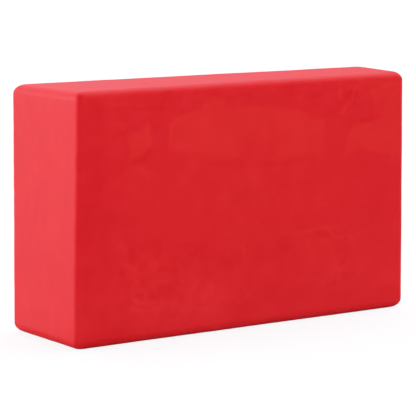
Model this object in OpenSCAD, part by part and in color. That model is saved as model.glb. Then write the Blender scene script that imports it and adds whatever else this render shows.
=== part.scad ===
// Car detailing clay bar: one pressed block of soft clay, standing on its long narrow side.
// X runs along the bar, Y through its thickness from the broad front face, Z up.
// Origin: centre of the bar's bounding box, on the surface that it stands on.

/* [Bar] */
// Length of the front face along its top edge
bar_length = 82; // [60:0.5:110]
// Height of the bar as it stands, which is the short side of its broad face
bar_height = 53; // [40:0.5:70]
// Thickness at the left end
left_thickness = 29.5; // [18:0.5:36]
// Thickness at the right end, which was pressed a little thinner
right_thickness = 22.5; // [16:0.5:36]

/* [Soft edges] */
// Radius of the rounding along the top and bottom edges
edge_radius = 2; // [0.8:0.1:6]
// Radius of the rounding down the upright edges, which are sharper
upright_radius = 1.3; // [0.6:0.1:6]

/* [Hand-cut irregularities] */
// How much further the right end reaches at its back edge than at its front edge
right_end_skew = 5; // [0:0.5:10]
// How far the foot of the left end spreads beyond its top
left_foot_spread = 1.3; // [0:0.1:4]
// How far the foot of the front face is set back from its top
front_foot_setback = 1.4; // [0:0.1:4]

/* [Finish] */
// Facets across each rounded edge
edge_facets = 8; // [4:1:12]

/* [Hidden] */

// The left end and the front face run along the axes in plan, while the right end and the back
// face run askew, so each of those two is kept as a slope
right_slope = right_end_skew / right_thickness;
back_slope = (left_thickness - right_thickness) / (bar_length + right_end_skew);
right_stretch = sqrt(1 + right_slope * right_slope);
back_stretch = sqrt(1 + back_slope * back_slope);

// The four faces at height z, moved inwards by a distance
function foot_share(z) = 1 - z / bar_height;
function left_x(z, inwards) = inwards - left_foot_spread * foot_share(z);
function front_y(z, inwards) = inwards + front_foot_setback * foot_share(z);
function right_x(y, inwards) = bar_length - inwards * right_stretch + right_slope * y;
function back_y(x, inwards) = left_thickness - inwards * back_stretch - back_slope * x;
function far_x(inwards) =
    (right_x(0, inwards) + right_slope * back_y(0, inwards)) / (1 + right_slope * back_slope);

// Centres of the four upright edges at height z, from the front right one to the front left one,
// when the faces stand inwards by a distance
function edge_centres(z, inwards) =
    let (
        reach = inwards + upright_radius,
        left = left_x(z, reach),
        front = front_y(z, reach),
        far = far_x(reach)
    )
    [
        [right_x(front, reach), front],
        [far, back_y(far, reach)],
        [left, back_y(left, reach)],
        [left, front]
    ];

// Ways that the faces look in plan: front, right end, back, left end and front again
face_angles = [-90, -atan(right_slope), 90 - atan(back_slope), 180, 270];

// Middle of the bounding box in plan, which runs from the left foot to the far right corner and
// from the top of the front face to the left end of the back face
low_z = edge_radius;
high_z = bar_height - edge_radius;
foot_x = left_x(low_z, 0);
far_reach = far_x(upright_radius) + upright_radius;
near_y = front_y(high_z, 0);
deep_y = edge_centres(low_z, 0)[2].y + upright_radius;
plan_mid = [(foot_x + far_reach) / 2, (near_y + deep_y) / 2];

// One outline of the bar at height z, with its faces standing inwards by a distance
function outline(z, inwards) = [
    for (corner = [0:3])
        let (centre = edge_centres(z, inwards)[corner] - plan_mid)
            for (step = [0:edge_facets])
                let (
                    turn = face_angles[corner + 1] - face_angles[corner],
                    angle = face_angles[corner] + turn * step / edge_facets
                )
                [
                    centre.x + upright_radius * cos(angle),
                    centre.y + upright_radius * sin(angle),
                    z
                ]
];

// Outlines over the rounding of the bottom edges, then over that of the top edges
low_angles = [for (step = [0:edge_facets]) 90 - 90 * step / edge_facets];
high_angles = [for (step = [0:edge_facets]) 90 * step / edge_facets];

module clay_bar() {
    outlines = concat(
        [for (a = low_angles) outline(edge_radius * (1 - sin(a)), edge_radius * (1 - cos(a)))],
        [for (a = high_angles) outline(high_z + edge_radius * sin(a), edge_radius * (1 - cos(a)))]
    );
    around = len(outlines[0]);
    last = len(outlines) - 1;
    sides = [
        for (level = [0:last - 1])
            for (i = [0:around - 1])
                let (low = level * around, next = (i + 1) % around)
                [low + i, low + around + i, low + around + next, low + next]
    ];
    bottom = [for (i = [0:around - 1]) i];
    top = [for (i = [around - 1:-1:0]) last * around + i];
    color("#d42a2f")
        polyhedron(
            points = [for (level = outlines) for (point = level) point],
            faces = concat([bottom, top], sides)
        );
}

clay_bar();
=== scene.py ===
"""A red bar of car detailing clay, standing on its long narrow side on a pale studio floor."""
import math

import bmesh
import bpy
from mathutils import Matrix, Vector, noise


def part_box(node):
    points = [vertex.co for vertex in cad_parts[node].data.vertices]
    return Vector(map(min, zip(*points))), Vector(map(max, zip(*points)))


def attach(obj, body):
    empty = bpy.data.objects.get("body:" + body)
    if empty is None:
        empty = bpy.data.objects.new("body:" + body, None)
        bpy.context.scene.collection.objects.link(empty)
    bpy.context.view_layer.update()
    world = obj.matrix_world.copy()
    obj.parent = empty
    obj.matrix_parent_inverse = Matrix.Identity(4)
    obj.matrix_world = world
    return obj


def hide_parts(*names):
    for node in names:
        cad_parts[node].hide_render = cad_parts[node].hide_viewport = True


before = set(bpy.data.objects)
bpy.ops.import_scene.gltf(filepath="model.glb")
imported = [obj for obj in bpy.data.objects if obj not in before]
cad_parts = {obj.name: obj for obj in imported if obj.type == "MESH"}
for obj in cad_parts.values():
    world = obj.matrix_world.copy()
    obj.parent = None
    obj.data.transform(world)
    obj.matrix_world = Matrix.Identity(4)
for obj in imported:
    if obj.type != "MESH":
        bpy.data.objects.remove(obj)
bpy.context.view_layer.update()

# ---- Clay bar -----------------------------------------------------------------------------
# The bar is one mass of soft, waxy resin with fine abrasive kneaded through it. It is pressed to a
# block and cut to length by hand, so its ends run a little askew and its faces lean. All its edges
# are softly rounded.
MM = 0.001
BAR_LENGTH = 82 * MM
LEFT_THICKNESS = 29.5 * MM
RIGHT_THICKNESS = 22.5 * MM
RIGHT_END_SKEW = 5 * MM
LEFT_FOOT_SPREAD = 1.3 * MM
FRONT_FOOT_SETBACK = 1.4 * MM
EDGE_RADIUS = 2 * MM
UPRIGHT_RADIUS = 1.3 * MM
CELL = 0.5 * MM
EDGE_CELLS = 8
PLACE_ROUNDS = 4

clay_low, clay_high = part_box("clay_bar")
BAR_HEIGHT = clay_high.z - clay_low.z
right_slope = RIGHT_END_SKEW / RIGHT_THICKNESS
back_slope = (LEFT_THICKNESS - RIGHT_THICKNESS) / (BAR_LENGTH + RIGHT_END_SKEW)
half_size = Vector((BAR_LENGTH, LEFT_THICKNESS, BAR_HEIGHT)) / 2
cells = [2 * EDGE_CELLS + round((2 * half - 2 * EDGE_RADIUS) / CELL) for half in half_size]


def bent(u, v):
    """Bends the outer sides of a square on to a quarter of a circle."""
    return u * math.sqrt(1 - v * v / 2), v * math.sqrt(1 - u * u / 2)


def inward_place(share):
    """How far inwards from the nearest faces a point of the rounded bar lies, along each axis."""
    inward = []
    for axis, half in enumerate(half_size):
        steps = (1 - abs(share[axis])) * cells[axis] / 2
        flat_share = (steps - EDGE_CELLS) / (cells[axis] / 2 - EDGE_CELLS)
        if flat_share < 0:
            inward.append(EDGE_RADIUS * steps / EDGE_CELLS)
        else:
            inward.append(EDGE_RADIUS + (half - EDGE_RADIUS) * flat_share)
    x_in, y_in, z_in = inward
    # The upper and lower edges: rings round the bar are bent on to a quarter of a circle
    ring = min(x_in, y_in, EDGE_RADIUS)
    moved_ring = ring
    if z_in < EDGE_RADIUS:
        out, up = bent(1 - ring / EDGE_RADIUS, 1 - z_in / EDGE_RADIUS)
        moved_ring = EDGE_RADIUS * (1 - out)
        z_in = EDGE_RADIUS * (1 - up)
    x_in, y_in = (
        (value - ring) * (half - moved_ring) / (half - ring)
        for value, half in ((x_in, half_size.x), (y_in, half_size.y))
    )
    # The upright edges
    if x_in < UPRIGHT_RADIUS and y_in < UPRIGHT_RADIUS:
        x_out, y_out = bent(1 - x_in / UPRIGHT_RADIUS, 1 - y_in / UPRIGHT_RADIUS)
        x_in = UPRIGHT_RADIUS * (1 - x_out)
        y_in = UPRIGHT_RADIUS * (1 - y_out)
    return x_in + moved_ring, y_in + moved_ring, z_in


def between(low, high, inward, half, side):
    """A place between two faces: true distances near each face, with the middle stretched to fit."""
    near = EDGE_RADIUS + UPRIGHT_RADIUS
    if inward > near:
        inward = near + (inward - near) * ((high - low) / 2 - near) / (half - near)
    return high - inward if side > 0 else low + inward


def bar_place(share):
    """One point of the bar with its leaning faces, from a point on a cube from -1 to 1."""
    x_in, y_in, z_in = inward_place(share)
    z = BAR_HEIGHT - z_in if share.z > 0 else z_in
    foot_share = 1 - z / BAR_HEIGHT
    x, y = half_size.x, half_size.y
    # The right end leans with y and the back with x, so the two settle together in a few rounds
    for _ in range(PLACE_ROUNDS):
        right = BAR_LENGTH + right_slope * y
        back = LEFT_THICKNESS - back_slope * x
        x = between(-LEFT_FOOT_SPREAD * foot_share, right, x_in, half_size.x, share.x)
        y = between(FRONT_FOOT_SETBACK * foot_share, back, y_in, half_size.y, share.y)
    return Vector((x, y, z))


def runs_along(edge, axis):
    """Whether an edge of the cube runs along an axis."""
    return abs((edge.verts[0].co - edge.verts[1].co).normalized()[axis]) > 0.9


block = bmesh.new()
bmesh.ops.create_cube(block, size=2)
for axis in range(3):
    along_axis = [edge for edge in block.edges if runs_along(edge, axis)]
    bmesh.ops.subdivide_edges(block, edges=along_axis, cuts=cells[axis] - 1, use_grid_fill=True)
for vert in block.verts:
    vert.co = bar_place(vert.co)
lowest, highest = (
    Vector([pick(vert.co[axis] for vert in block.verts) for axis in range(3)]) for pick in (min, max)
)
bmesh.ops.translate(block, vec=(clay_low + clay_high - lowest - highest) / 2, verts=block.verts)
block.normal_update()

# The film that the bar was wrapped in clung to it in patches and left them slightly lighter, with
# crisp borders. Each is a strength and an outline on the front face, in millimetres across and up.
FILM_PATCHES = (
    (1, ((-21.5, 40), (-21.5, 45), (-20, 46.5), (-16, 47.5), (-13.5, 48), (-12.5, 50), (-10, 50.5),
         (-7.5, 50), (-7.5, 48), (-5.5, 47.5), (0, 48), (6.5, 47), (10.5, 46.5), (13, 45.5), (14, 44),
         (18, 43.5), (18, 41.5), (16.5, 37), (13, 36.5), (6, 36), (-3.5, 36.5), (-10.5, 37),
         (-14.5, 38.5), (-18.5, 39.5))),
    (0.9, ((23, 35.5), (24, 39.5), (25.5, 42), (31, 43), (33.5, 44), (34.5, 47), (33, 50), (33, 55), (42, 55),
           (42, 34.5), (33, 35), (29, 36.5))),
    (0.55, ((31, 43), (31.5, 45), (31, 47), (30, 49), (30, 55), (36, 55), (36, 43))),
    (0.8, ((-31.5, 43.5), (-28, 44), (-27.5, 46), (-26, 45.5), (-25.5, 41), (-28, 39.5), (-31, 38.5))),
    (0.5, ((25, 50), (25, 55), (30, 55), (30, 50))),
    (0.4, ((-36.5, 46.5), (-32, 46.5), (-32, 44.5), (-36, 43))),
    (0.4, ((-39, 52.5), (-30.5, 52.5), (-31, 50), (-35, 49), (-39, 50.5))),
    (0.35, ((-32.5, 37), (-29, 37.5), (-25, 36), (-23.5, 33.5), (-25.5, 30.5), (-29.5, 30.5), (-32.5, 33))),
)
# Folds of the film pressed fine ridges and grooves into the clay. The light on the ridges is painted
# highlight and the dark lines beside them are painted shade. Each is a strength, which is below 0 for
# a dark line, a half width and a path.
FOLD_LINES = (
    # gathered folds towards the right of the top edge
    (0.8, 0.5, ((22, 49.5), (22, 48))), (0.8, 0.5, ((23.5, 46.5), (22.5, 45))),
    (0.5, 0.4, ((22.5, 52), (22, 51))), (0.6, 0.4, ((24.5, 50.5), (24, 49.5))),
    (0.5, 0.4, ((25, 48.5), (25, 47.5))), (0.5, 0.4, ((26, 50.5), (25.5, 49))),
    (0.6, 0.4, ((27.5, 50), (27, 48.5))), (0.6, 0.4, ((26.5, 47.5), (27, 47))),
    (0.5, 0.5, ((28.5, 49.5), (28.5, 47))), (0.4, 0.4, ((27, 51.5), (26.5, 51))),
    (0.5, 0.9, ((31, 49), (32.5, 48.5))), (-0.5, 0.5, ((21, 50), (21, 48))),
    (-0.6, 0.5, ((23.5, 49), (23, 47.5), (22, 47))), (-0.3, 0.4, ((24.5, 49.5), (24.5, 48))),
    (-0.7, 0.4, ((25, 47), (26, 47))), (-0.5, 0.4, ((26, 49.5), (26, 48))),
    (-0.6, 0.4, ((27, 46.5), (28, 46.5))), (-0.5, 0.5, ((29.5, 50), (29.5, 48.5))),
    # the right patch's borders
    (-0.8, 0.4, ((27.5, 43), (30, 43), (32.5, 43.5))), (-0.5, 0.5, ((30, 36), (31, 35.5))),
    (-0.5, 0.5, ((32, 34.5), (35, 34.5))), (0.4, 1.1, ((26, 41), (29.5, 41.5))),
    (0.4, 1.1, ((24.5, 40), (24, 36.5))),
    # short folds towards the left of the top edge
    (0.5, 0.5, ((-28.5, 49.5), (-27.5, 49))), (0.5, 0.4, ((-25.5, 50), (-23.5, 49.5))),
    (0.5, 0.4, ((-22.5, 49.5), (-22.5, 48.5))), (-0.7, 0.5, ((-23, 50), (-23, 48.5))),
    (0.5, 0.5, ((-26.5, 46), (-26.5, 41))), (0.5, 0.5, ((-32.5, 46), (-32.5, 45))),
    (0.4, 0.6, ((-38.5, 42.5), (-38, 42.5))), (-0.6, 0.5, ((-34, 44.5), (-32, 44))),
    (-0.6, 0.4, ((-31, 46), (-31, 45))), (-0.6, 0.4, ((-30, 46), (-30, 45))),
    (-0.6, 0.4, ((-29.5, 45), (-28.5, 44.5))), (-0.6, 0.4, ((-27.5, 46.5), (-27.5, 46))),
    (-0.7, 0.3, ((-34.8, 43), (-34.2, 43.6), (-33.6, 43), (-34.2, 42.4), (-34.8, 43))),
    # the shadow and the arc under the left patch
    (-0.8, 0.7, ((-30, 38), (-28, 38), (-26.5, 39.5))), (-0.5, 0.7, ((-28.5, 37.5), (-27, 37))),
    (0.6, 0.6, ((-31.5, 35.5), (-30, 36.5), (-28, 36), (-26.5, 35.5), (-26.5, 34.5))),
    (0.5, 0.5, ((-33, 35), (-33, 34), (-34, 34))), (0.5, 0.4, ((-31, 38), (-31, 37))),
    (-0.4, 0.8, ((-29, 34.5), (-28.5, 33))), (-0.5, 0.4, ((-28, 32.5), (-28, 32))),
    (-0.4, 0.5, ((-25, 36), (-24, 35.5))),
    # the left ring
    (0.8, 0.5, ((-33.5, 21), (-32.5, 20.5), (-32, 19))),
    (0.8, 0.5, ((-33.5, 17.5), (-32, 16.5), (-30, 15.5))), (0.5, 0.8, ((-31.5, 15.5), (-31, 14))),
    (0.5, 0.5, ((-30, 13), (-29, 12))),
    (0.8, 0.5, ((-31, 12), (-31, 11), (-30.5, 9.5), (-29, 8.5), (-27, 8))),
    (0.8, 0.5, ((-31, 7.5), (-29.5, 7), (-27, 6.5), (-24, 6.5))),
    (0.5, 0.5, ((-26.5, 7.5), (-25.5, 8.5))), (0.7, 0.5, ((-25, 12.5), (-24, 12.5))),
    (0.6, 0.5, ((-23, 12.5), (-21.5, 12))), (0.5, 0.5, ((-26, 12), (-25.5, 11.5))),
    (0.7, 0.5, ((-25.5, 17), (-24.5, 16))), (0.5, 0.6, ((-27.5, 17.5), (-27, 17))),
    (0.5, 0.5, ((-34, 14), (-33, 14))), (0.6, 0.4, ((-20, 10.5), (-19, 9.5))),
    (-0.8, 0.7, ((-33, 16), (-33, 15))), (-0.7, 0.6, ((-30.5, 19.5), (-30.5, 18))),
    (-0.7, 0.6, ((-26, 18), (-25, 17.5))), (-1.0, 0.6, ((-29.5, 10), (-28.5, 10))),
    (-0.8, 0.4, ((-28.5, 7.5), (-27, 7))), (-0.9, 0.5, ((-26.5, 9.5), (-25.5, 9.5), (-24.5, 9))),
    (-0.6, 0.5, ((-24, 10.5), (-23.5, 11.5))), (-0.5, 0.5, ((-22, 11.5), (-21, 11.5))),
    (-0.8, 0.5, ((-20, 12), (-19, 11.5))), (-0.7, 0.5, ((-20, 10), (-19.5, 9.5))),
    (-0.7, 0.5, ((-19, 9), (-19, 8))), (-0.4, 0.4, ((-24, 15), (-20, 15))),
    # the streaks that join it to the folds in the middle
    (0.5, 0.7, ((-21, 6.5), (-18, 5.5), (-16.5, 6))), (-0.5, 0.4, ((-24, 5.5), (-20.5, 5), (-18, 4.5))),
    (0.5, 0.5, ((-22, 4), (-19, 3.5))), (-0.5, 0.9, ((-14.5, 10.5), (-14.5, 9.5))),
    (0.4, 0.6, ((-16.5, 11.5), (-16, 11))), (0.7, 0.6, ((-13.5, 8.5), (-12.5, 8.5))),
    (-0.5, 0.5, ((-15, 6.5), (-13, 6.5), (-11.5, 7.5), (-10, 8))), (0.5, 0.9, ((-11.5, 10), (-11, 9.5))),
    (0.4, 0.5, ((-15.5, 6), (-13, 5.5), (-10.5, 6))), (0.5, 0.4, ((-11.5, 4.5), (-11, 4.5))),
    (0.6, 0.5, ((-9, 8), (-8, 7), (-6.5, 7))), (-0.6, 0.4, ((-9, 7), (-7.5, 6.5), (-5.5, 6))),
    (0.4, 0.5, ((-5, 6.5), (-4.5, 6))),
    # the crossed folds in the middle
    (0.7, 0.5, ((-3.5, 18), (-3, 17), (-3, 14.5))), (0.7, 0.5, ((-5.5, 15), (-5, 13), (-3.5, 11))),
    (0.9, 0.5, ((-4, 10), (-3.5, 9.5), (-2.5, 8), (-2, 7))),
    (0.6, 0.5, ((-9, 18), (-7.5, 17), (-7, 16.5))), (-0.5, 1.0, ((-8, 16), (-6, 14.5))),
    (-0.4, 0.9, ((-7.5, 12), (-7, 10.5))), (-0.6, 0.6, ((-1.5, 10), (-1, 9.5))),
    (-0.4, 0.4, ((-9, 11), (-9, 10))),
    # the right ring
    (0.6, 0.5, ((9.5, 19.5), (12, 19.5), (16, 20), (20, 20), (22, 19))),
    (0.6, 0.5, ((19.5, 19), (20.5, 18), (23, 17.5))),
    (0.4, 0.5, ((13.5, 17.5), (16.5, 17.5), (19, 16.5))), (1.1, 0.5, ((25, 17.5), (25.5, 16.5))),
    (0.4, 0.5, ((26.5, 18), (27, 17))), (0.4, 0.9, ((20, 15), (19.5, 9))),
    (0.6, 0.5, ((21, 12.5), (21, 11), (22, 10), (24, 11), (24.5, 12))), (0.5, 0.5, ((22, 10), (21.5, 9))),
    (0.7, 0.6, ((17, 8), (18, 8))), (0.5, 0.5, ((11, 9), (11, 8.5))),
    (-0.7, 0.5, ((15.5, 19), (17, 19), (19, 18))), (-0.5, 0.4, ((21, 18.5), (25, 18))),
    (-0.7, 0.4, ((23, 17), (24, 17))), (-0.4, 1.2, ((21.5, 16), (24, 15))),
    (-0.6, 0.6, ((21.5, 15), (21.5, 14))), (-0.6, 0.5, ((24, 13), (23, 12))),
    (-0.5, 0.5, ((23.5, 9.5), (23.5, 8.5))), (-0.5, 0.5, ((18.5, 7), (21, 7.5))),
    # small marks left of it and above it
    (0.5, 0.5, ((9, 24.5), (9.5, 24))), (0.4, 0.5, ((14.5, 26), (16.5, 25), (18.5, 25))),
    (0.4, 0.5, ((7, 20), (7.5, 19.5))), (-0.5, 0.5, ((7, 18.5), (7.5, 18.5))),
    (-0.5, 0.4, ((6.5, 17), (8, 17))), (-0.5, 0.5, ((10, 14.5), (11, 13.5))),
    (-0.5, 0.6, ((10.5, 11), (11, 10.5))), (-0.4, 0.5, ((30.5, 21), (30.5, 20))),
    # the widest patch: its lower border and its lighter ends
    (-0.5, 0.5, ((-11, 36.3), (-3.5, 35.8))), (-0.6, 0.6, ((2, 35.2), (7.5, 35), (12, 35.8))),
    (0.45, 0.7, ((-17, 46.5), (-20, 46), (-21, 44.5), (-21, 41), (-19, 40), (-15, 39.5))),
    (0.4, 0.7, ((14.5, 43.5), (17.5, 43), (17.5, 41.5), (16.5, 38.5))),
)
# Softer marks and spots of painted light are oval. Each gives the multiples of its half size at which
# it has ended and is full, its middle and its half size, and the faint and the light ones start with a
# strength.
RUBBED_SPOT = (13, 9, (-23, 12), (1.15, 1))
DENT_SPOT = (1.35, 0.8, (-22.8, 9.6), (3.4, 1.7))
FAINT_SPOTS = (
    (0.28, 1.3, 0.9, (-26.5, 14), (5.5, 4.5)),
    (0.2, 1.15, 0.9, (17.6, 12.8), (7.7, 7.2)),
    (0.2, 1.3, 0.7, (-2.7, 29.9), (6.1, 4.3)),
    (0.33, 1.6, 0.5, (-1, 31), (24, 14)),
)
# Painted light on the lower front, against the shade near the foot. The larger spot also lies on a faint
# lighter patch of the clay.
PAINTED_LIGHT_SPOTS = (
    (0.8, 1.4, 0.4, (-18, 6), (14, 8)),
    (0.4, 1.4, 0.4, (12, 1), (22, 4)),
)
# Below, a pair says where something starts and where it is full, in millimetres across or up.
# Painted light lightens the front towards its foot, and painted shade darkens it along its left
# side. It is rubbed near its top edge.
FOOT_PAINTED_LIGHT = 0.35
FOOT_PAINTED_LIGHT_RISE = (20, 6)
LEFT_SHADE = 0.5
LEFT_SHADE_SIDE = (-34, -39)
LEFT_SHADE_RISE = (10, 26)
RUBBED_TOP = (45.5, 49)
# The widest patch is fainter in its middle and along a narrow seam. The middle's right side and the
# seam are bowed: they lie further left the further they are from the bow's height.
MIDDLE_LOSS = 0.6
MIDDLE_LEFT = (-5, -1.5)
MIDDLE_RIGHT = (8, 5)
MIDDLE_TOP = (41.8, 39)
SEAM_LOSS = 0.8 * MIDDLE_LOSS
SEAM_LEFT = (3.0, 4.2)
SEAM_RIGHT = (5.8, 4.8)
SEAM_FOOT = (39, 41.5)
SEAM_TOP = (46.5, 44)
BOW = 0.06
BOW_HEIGHT = 42
# The shift and the size of the waves that make borders ragged, half the width of a border, and how
# far beyond a mark's points it can still be felt
RAGGED_WAVES = ((0.5, 2.2), (0.25, 0.9))
PATCH_BLUR = 0.28
PATCH_MARGIN = 1
FOLD_MARGIN = 2
# How hard the folds were pressed in, and how much that varies along them
PRESSURE = 0.8
PRESSURE_SWING = 0.6
# What the marks leave: a height or depth in millimetres, and strengths of film and of tone. The folds'
# film and tone are their painted highlight and shade, and the dent's darker tone is painted shade.
FILM_HEIGHT = 0.03
FOLD_HEIGHT = 0.02
FOLD_PAINTED_SHADING_FILM = 0.5
FOLD_PAINTED_SHADING_TONE = 0.65
RUBBED_HEIGHT = 0.02
RUBBED_TONE = 0.5
DENT_DEPTH = 0.05
DENT_PAINTED_SHADE = 0.4


def smooth_step(low, high, value):
    """0 at low and 1 at high, with a smooth rise between. Where low is the larger, it falls."""
    share = min(max((value - low) / (high - low), 0), 1)
    return share * share * (3 - 2 * share)


def waver(x, y, z, size, seed):
    """Smooth noise from -1 to 1, with features of about the given size. A seed gives other noise."""
    return noise.noise(Vector((x / size + seed, y / size - seed, z / size + 2 * seed)))


def spot_share(x, z, outer, inner, centre, half_size):
    """1 inside an oval spot and 0 outside it. The spot fades between two multiples of its half size."""
    distance = math.hypot((x - centre[0]) / half_size[0], (z - centre[1]) / half_size[1])
    return smooth_step(outer, inner, distance)


def reach_of(path, margin):
    """The lowest and highest places across and up that a mark touches."""
    across, up = zip(*path)
    return min(across) - margin, max(across) + margin, min(up) - margin, max(up) + margin


def touches(reach, x, z):
    """Whether a place is within a mark's reach."""
    left, right, low, high = reach
    return left < x < right and low < z < high


patches = [(strength, outline, reach_of(outline, PATCH_MARGIN)) for strength, outline in FILM_PATCHES]
folds = [
    (strength, half_width, path, reach_of(path, FOLD_MARGIN)) for strength, half_width, path in FOLD_LINES
]


def path_distance(x, z, path):
    """Distance from a place to a path."""
    nearest = math.inf
    for (x0, z0), (x1, z1) in zip(path, path[1:]):
        run, rise = x1 - x0, z1 - z0
        share = min(max(((x - x0) * run + (z - z0) * rise) / (run * run + rise * rise), 0), 1)
        nearest = min(nearest, math.hypot(x - x0 - share * run, z - z0 - share * rise))
    return nearest


def inside_share(x, z, outline):
    """1 inside an outline and 0 outside it, with a short ramp over its border."""
    closed = outline + outline[:1]
    within = False
    for (x0, z0), (x1, z1) in zip(closed, closed[1:]):
        if (z0 > z) != (z1 > z) and x < x0 + (z - z0) / (z1 - z0) * (x1 - x0):
            within = not within
    distance = path_distance(x, z, closed)
    return smooth_step(-PATCH_BLUR, PATCH_BLUR, distance if within else -distance)


def ragged(value, x, z, layer, seed):
    """One coordinate of a place on the front, shifted a little to make the marks' borders ragged."""
    for step, (shift, size) in enumerate(RAGGED_WAVES):
        value += shift * waver(x, layer, z, size, seed + 2 * step)
    return value


def film_kept(x, z, ragged_x, ragged_z):
    """The share of its film mark that the widest patch keeps in its middle and along the seam."""
    bowed = ragged_x + BOW * (z - BOW_HEIGHT) ** 2
    middle = smooth_step(*MIDDLE_LEFT, ragged_x) * smooth_step(*MIDDLE_RIGHT, bowed)
    middle *= smooth_step(*MIDDLE_TOP, ragged_z)
    seam = smooth_step(*SEAM_LEFT, bowed) * smooth_step(*SEAM_RIGHT, bowed)
    seam *= smooth_step(*SEAM_FOOT, z) * smooth_step(*SEAM_TOP, z)
    return 1 - max(MIDDLE_LOSS * middle, SEAM_LOSS * seam)


def front_marks(x, y, z):
    """Relief in millimetres, and strengths of film and tone, with painted light and shade, on the front."""
    ragged_x = ragged(x, x, z, 3, 5)
    ragged_z = ragged(z, x, z, 9, 6)
    film = 0
    for strength, outline, reach in patches:
        if touches(reach, ragged_x, ragged_z):
            film = max(film, strength * inside_share(ragged_x, ragged_z, outline))
    film *= film_kept(x, z, ragged_x, ragged_z)
    lines = 0
    # Each fold line is a ridge or a groove, coloured with its painted highlight or painted shade
    for strength, half_width, path, reach in folds:
        if touches(reach, x, z):
            distance = path_distance((x + ragged_x) / 2, (z + ragged_z) / 2, path) / half_width
            pressed = PRESSURE + PRESSURE_SWING * waver(x, 1, z, 2.5, 8)
            lines += strength * pressed * math.exp(-distance * distance)
    rubbed = smooth_step(*RUBBED_TOP, z) * waver(x / 2.2, 4, z, 1.3, 14)
    rubbed += spot_share(x, z, *RUBBED_SPOT) * waver(x, 4, z, 1.8, 15)
    # The dent is a shallow hollow, darkened with painted shade
    dent = spot_share(x, z, *DENT_SPOT)
    faint = sum(strength * spot_share(x, z, *spot) for strength, *spot in FAINT_SPOTS)
    # Painted light near the foot, and painted shade along the left side
    painted_light_and_shade = sum(strength * spot_share(x, z, *spot) for strength, *spot in PAINTED_LIGHT_SPOTS)
    painted_light_and_shade += FOOT_PAINTED_LIGHT * smooth_step(*FOOT_PAINTED_LIGHT_RISE, z)
    painted_light_and_shade -= LEFT_SHADE * smooth_step(*LEFT_SHADE_SIDE, x) * smooth_step(*LEFT_SHADE_RISE, z)
    relief = FILM_HEIGHT * film + FOLD_HEIGHT * lines + RUBBED_HEIGHT * rubbed - DENT_DEPTH * dent
    # The fold lines' painted highlight and shade go into the film share as well
    film = max(film, faint * (1 - dent)) + FOLD_PAINTED_SHADING_FILM * lines
    return relief, film, FOLD_PAINTED_SHADING_TONE * lines + RUBBED_TONE * rubbed - DENT_PAINTED_SHADE * dent + painted_light_and_shade


# The left end is wrinkled over its back half at mid height, and painted light makes it a little
# lighter towards its foot
WRINKLE_HEIGHT = 0.03
WRINKLE_BACK = (-2, 3)
WRINKLE_FOOT = (22, 27)
WRINKLE_TOP = (42, 36)
LEFT_WAVE_HEIGHT = 0.04
LEFT_FILM = 0.3
LEFT_FOOT_PAINTED_LIGHT = 0.6
LEFT_FOOT_RISE = (16, 3)


def left_marks(x, y, z):
    """The same three at a place on the left end."""
    wrinkled = smooth_step(*WRINKLE_BACK, y) * smooth_step(*WRINKLE_FOOT, z) * smooth_step(*WRINKLE_TOP, z)
    relief = WRINKLE_HEIGHT * wrinkled * waver(0, y / 3, z, 0.8, 21)
    relief += LEFT_WAVE_HEIGHT * waver(0, y, z, 3, 22)
    film = LEFT_FILM * smooth_step(0.1, 0.4, waver(0, y, z, 9, 23))
    # Lighter towards the foot: painted light
    return relief, film, LEFT_FOOT_PAINTED_LIGHT * smooth_step(*LEFT_FOOT_RISE, z)


# The top has fine streaks, which run along the bar and a little askew
STREAK_HEIGHT = 0.03
STREAK_SKEW = 0.05


def top_marks(x, y, z):
    """The same three at a place on the top."""
    return STREAK_HEIGHT * waver(x / 5, y + STREAK_SKEW * x, 0, 0.9, 24), 0, 0


# The back, the right end and the underside have patches of film too, and folds that cross them,
# whose crests are lightened with painted highlight
PRINT_HEIGHT = 0.018
PRINT_FILM = 0.8
RIDGE_HEIGHT = 0.03
RIDGE_PAINTED_HIGHLIGHT = 0.5
RIDGE_SHARPNESS = 14
FINE_HEIGHT = 0.012


def hidden_marks(x, y, z):
    """The same three at a place on the back, the right end or the underside."""
    printed = smooth_step(0.05, 0.12, waver(x, y, z, 13, 31) + 0.25 * waver(x, y, z, 3, 32))
    ridge = math.exp(-(RIDGE_SHARPNESS * waver(x, y, z, 8, 33)) ** 2)
    relief = PRINT_HEIGHT * printed + RIDGE_HEIGHT * ridge * (0.5 + waver(x, y, z, 4, 34))
    # The ridges' lighter tone is painted highlight
    return relief + FINE_HEIGHT * waver(x, y, z, 2, 35), PRINT_FILM * printed, RIDGE_PAINTED_HIGHLIGHT * ridge


# The front's grid is halved where its marks change from one corner of a face to the next
FRONT_FACING = 0.9
GREATEST_CHANGE = 0.13
shades = {}
changing = set()
for face in block.faces:
    if face.normal.y < -FRONT_FACING:
        for vert in face.verts:
            if vert not in shades:
                _, film, tone = front_marks(*vert.co / MM)
                shades[vert] = film + tone
        corners = [shades[vert] for vert in face.verts]
        if max(corners) - min(corners) > GREATEST_CHANGE:
            changing.update(face.edges)
fine_edges = [edge for edge in block.edges if edge in changing]
bmesh.ops.subdivide_edges(block, edges=fine_edges, cuts=1, use_grid_fill=True)
block.normal_update()

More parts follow.
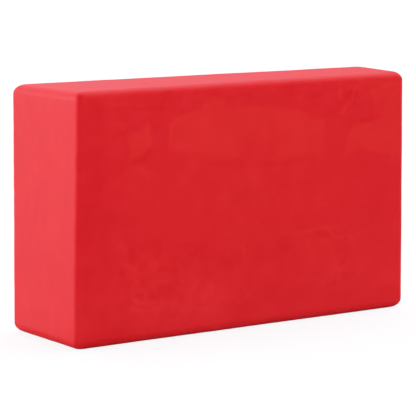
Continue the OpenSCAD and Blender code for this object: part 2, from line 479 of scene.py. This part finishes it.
# Every face gets its relief along its normals, and its film and tone, which carry the painted light
# and shade, as attributes. On a rounded edge each face counts by the square of how far the surface
# turns to it. The whole bar is a little uneven, with waves of these heights and sizes, and its front
# left edge wanders.
UNEVENNESS = ((0.05, 24, 1), (0.03, 9, 2))
EDGE_WANDER = 0.28
LEAST_SHARE = 0.02
TONE_LIMIT = 1.5
film_layer = block.verts.layers.float.new("film")
crease_layer = block.verts.layers.float.new("crease")
moves = []
for vert in block.verts:
    x, y, z = vert.co / MM
    normal = vert.normal
    front, left, top = (max(0, value) ** 2 for value in (-normal.y, -normal.x, normal.z))
    hidden = sum(max(0, value) ** 2 for value in (normal.y, normal.x, -normal.z))
    relief = sum(height * waver(x, y, z, size, seed) for height, size, seed in UNEVENNESS)
    relief += EDGE_WANDER * math.sqrt(front * left) * waver(0, 0, z, 5, 41)
    film = tone = 0
    for share, marks in ((front, front_marks), (left, left_marks), (top, top_marks), (hidden, hidden_marks)):
        if share > LEAST_SHARE:
            face_relief, face_film, face_tone = marks(x, y, z)
            relief += share * face_relief
            film += share * face_film
            tone += share * face_tone
    vert[film_layer] = min(max(film, 0), 1)
    vert[crease_layer] = min(max(tone, -TONE_LIMIT), TONE_LIMIT)
    moves.append(normal * relief * MM)
for vert, move in zip(block.verts, moves):
    vert.co += move
    vert.co.z = max(vert.co.z, clay_low.z)
block.normal_update()

clay_mesh = bpy.data.meshes.new("clay_block")
block.to_mesh(clay_mesh)
block.free()
clay_block = bpy.data.objects.new("clay_block", clay_mesh)
bpy.context.collection.objects.link(clay_block)
for polygon in clay_mesh.polygons:
    polygon.use_smooth = True


class Socket:
    """A node's output, which can be added to and multiplied like a number."""

    def __init__(self, tree, output):
        self.tree = tree
        self.output = output

    @classmethod
    def of_node(cls, tree, kind, settings=None, output=0, **inputs):
        """Adds a node with its settings, and then its inputs, each a value or another socket.

        An input goes by its name, with _ for a space, or by _ and its number.
        """
        node = tree.nodes.new(kind)
        for name, value in (settings or {}).items():
            setattr(node, name, value)
        for name, value in inputs.items():
            key = int(name[1:]) if name.startswith("_") else name.replace("_", " ")
            if isinstance(value, cls):
                value.feed(node, key)
            else:
                node.inputs[key].default_value = value
        return cls(tree, node.outputs[output])

    def feed(self, node, key):
        """Links this output to another node's input."""
        self.tree.links.new(self.output, node.inputs[key])

    def blend(self, colour_at_0, colour_at_1):
        """Mixes two colours, with this output as the share of the second."""
        return Socket.of_node(self.tree, "ShaderNodeMix", {"data_type": "RGBA"}, 2,
                              Factor=self, _6=colour_at_0, _7=colour_at_1)

    def maths(self, operation, first, second):
        """Adds a Math node for two numbers or outputs."""
        return Socket.of_node(self.tree, "ShaderNodeMath", {"operation": operation}, 0, _0=first, _1=second)

    def __add__(self, other):
        return self.maths("ADD", self, other)

    def __radd__(self, other):
        return self.maths("ADD", other, self)

    def __sub__(self, other):
        return self.maths("SUBTRACT", self, other)

    def __rsub__(self, other):
        return self.maths("SUBTRACT", other, self)

    def __mul__(self, other):
        return self.maths("MULTIPLY", self, other)

    def __rmul__(self, other):
        return self.maths("MULTIPLY", other, self)

    def __pow__(self, other):
        return self.maths("POWER", self, other)

    def __rpow__(self, other):
        return self.maths("POWER", other, self)


# The dyed clay is matt with a faint waxy sheen. The film's patches are a little lighter and smoother,
# and a whitish mottling lightens it in places. The tone attribute, its mottling near the top edge
# apart, is painted light and shade: highlight on the folds' crests, shade in their grooves and in the
# dent, light near the foot and shade along the front's left side.
BARE_RED = (0.655, 0.0034, 0.0072, 1)
FILMED_RED = (0.676, 0.0086, 0.0082, 1)
HAZE_AND_PAINTED_SHADING = (0.655, 0.085, 0.090)
BROAD_TONE = 0.05
MOTTLE_TONE = 0.13
TONE_AND_PAINTED_SHADING_SCALE = 0.075
SHEEN = 0.18
ROUGHNESS = 0.5
MOTTLE_ROUGHNESS = 0.1
FILM_SMOOTHNESS = 0.03
clay = bpy.data.materials.new("clay")
clay.use_nodes = True
clay_tree = clay.node_tree
clay_shader = clay_tree.nodes["Principled BSDF"]
clay_shader.inputs["Specular IOR Level"].default_value = SHEEN
place = Socket.of_node(clay_tree, "ShaderNodeTexCoord", output="Object")
film = Socket.of_node(clay_tree, "ShaderNodeAttribute", {"attribute_name": "film"}, "Fac")
crease = Socket.of_node(clay_tree, "ShaderNodeAttribute", {"attribute_name": "crease"}, "Fac")
broad = Socket.of_node(clay_tree, "ShaderNodeTexNoise", Vector=place, Scale=45.0, Detail=2.0)
mottle = Socket.of_node(clay_tree, "ShaderNodeTexNoise", Vector=place, Scale=260.0, Detail=3.0)
grain = Socket.of_node(clay_tree, "ShaderNodeTexNoise", Vector=place, Scale=2600.0, Detail=2.0)
# Random mottling, plus the tone attribute with its painted light and shade
tone = (broad - 0.5) * BROAD_TONE + (mottle - 0.5) * MOTTLE_TONE + crease * TONE_AND_PAINTED_SHADING_SCALE
haze_and_painted_shading = Socket.of_node(clay_tree, "ShaderNodeVectorMath", {"operation": "SCALE"}, _0=HAZE_AND_PAINTED_SHADING, Scale=tone)
colour = Socket.of_node(clay_tree, "ShaderNodeVectorMath", {"operation": "ADD"},
                        _0=film.blend(BARE_RED, FILMED_RED), _1=haze_and_painted_shading)
colour.feed(clay_shader, "Base Color")
roughness = ROUGHNESS + (mottle - 0.5) * MOTTLE_ROUGHNESS - film * FILM_SMOOTHNESS
roughness.feed(clay_shader, "Roughness")
bump = Socket.of_node(clay_tree, "ShaderNodeBump",
                      Strength=0.12, Distance=0.06 * MM, Height=grain + mottle * 0.6)
bump.feed(clay_shader, "Normal")
clay_mesh.materials.append(clay)

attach(clay_block, "root")
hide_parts("clay_bar")

# ---- Floor and light ----------------------------------------------------------------------
# A pale studio floor, which keeps the bar's soft shadow, under wide soft lights in the sky. Only
# the camera sees floor and sky as white: matt clay mirrors nothing, and its faint sheen comes from
# the soft lights alone.
FLOOR_HALF_SIZE = 3
FLOOR_GREY = (0.62, 0.62, 0.62, 1)
SEEN_FLOOR_GREY = (0.95, 0.95, 0.95, 1)
SEEN_FLOOR_WHITE = 0.85
floor_shape = bmesh.new()
bmesh.ops.create_grid(floor_shape, x_segments=1, y_segments=1, size=FLOOR_HALF_SIZE)
floor_mesh = bpy.data.meshes.new("floor")
floor_shape.to_mesh(floor_mesh)
floor_shape.free()
floor = bpy.data.objects.new("floor", floor_mesh)
bpy.context.collection.objects.link(floor)

floor_paint = bpy.data.materials.new("floor_paint")
floor_paint.use_nodes = True
paint_tree = floor_paint.node_tree
paint = paint_tree.nodes["Principled BSDF"]
paint.inputs["Roughness"].default_value = 0.9
floor_seen = Socket.of_node(paint_tree, "ShaderNodeLightPath", output="Is Camera Ray")
floor_seen.blend(FLOOR_GREY, SEEN_FLOOR_GREY).feed(paint, "Base Color")
white = Socket.of_node(paint_tree, "ShaderNodeEmission", Color=(1, 1, 1, 1), Strength=1.0)
backdrop = Socket.of_node(paint_tree, "ShaderNodeMixShader", _0=floor_seen * SEEN_FLOOR_WHITE,
                          _1=Socket(paint_tree, paint.outputs[0]), _2=white)
backdrop.feed(paint_tree.nodes["Material Output"], "Surface")
floor_mesh.materials.append(floor_paint)

# Each soft light: degrees round the bar from its right end towards its back, degrees up, and level
SOFT_LIGHTS = (
    (0, 55, 3.0), (300, 55, 0.8), (60, 55, 1.6), (86, 29, 1.45), (135, 0, 4.6), (155, 0, 2.6),
    (180, 0, 1.4), (225, 0, 0.2), (270, 0, 3.9),
)
LIGHT_TINT = (1, 1, 1.12, 1)
LIGHT_FALLOFF = 8.0
SEEN_SKY = 1.05
world = bpy.data.worlds.new("studio")
world.use_nodes = True
sky = world.node_tree
background = sky.nodes["Background"]
background.inputs["Color"].default_value = LIGHT_TINT
heading = Socket.of_node(sky, "ShaderNodeTexCoord", output="Generated")
brightness = 0.0
for around, up, level in SOFT_LIGHTS:
    turn, rise = math.radians(around), math.radians(up)
    towards = (math.cos(turn) * math.cos(rise), math.sin(turn) * math.cos(rise), math.sin(rise))
    facing = Socket.of_node(sky, "ShaderNodeVectorMath", {"operation": "DOT_PRODUCT"}, "Value",
                            _0=heading, _1=towards)
    brightness = brightness + level * facing.maths("MAXIMUM", facing, 0.0) ** LIGHT_FALLOFF
sky_seen = Socket.of_node(sky, "ShaderNodeLightPath", output="Is Camera Ray")
brightness = brightness * (1 - sky_seen) + sky_seen * SEEN_SKY
brightness.feed(background, "Strength")
bpy.context.scene.world = world

# ---- Camera -------------------------------------------------------------------------------
# A long lens, a little above the bar's top and turned towards its left end.
CAMERA_PLACE = Vector((-243.14, -380.66, 84.56)) * MM
LOOKING = Vector((0.52851, 0.83862, -0.13190))
CAMERA_ROLL = math.radians(0.956)
camera_data = bpy.data.cameras.new("camera")
camera_data.lens = 180.45
camera_data.sensor_width = 36
camera_data.clip_start = 0.01
camera_data.clip_end = 20
camera = bpy.data.objects.new("camera", camera_data)
camera.location = CAMERA_PLACE
camera.rotation_mode = "QUATERNION"
roll = Matrix.Rotation(-CAMERA_ROLL, 4, "Z").to_quaternion()
camera.rotation_quaternion = LOOKING.to_track_quat("-Z", "Y") @ roll
bpy.context.collection.objects.link(camera)
bpy.context.scene.camera = camera
bpy.context.scene.view_settings.view_transform = "Standard"
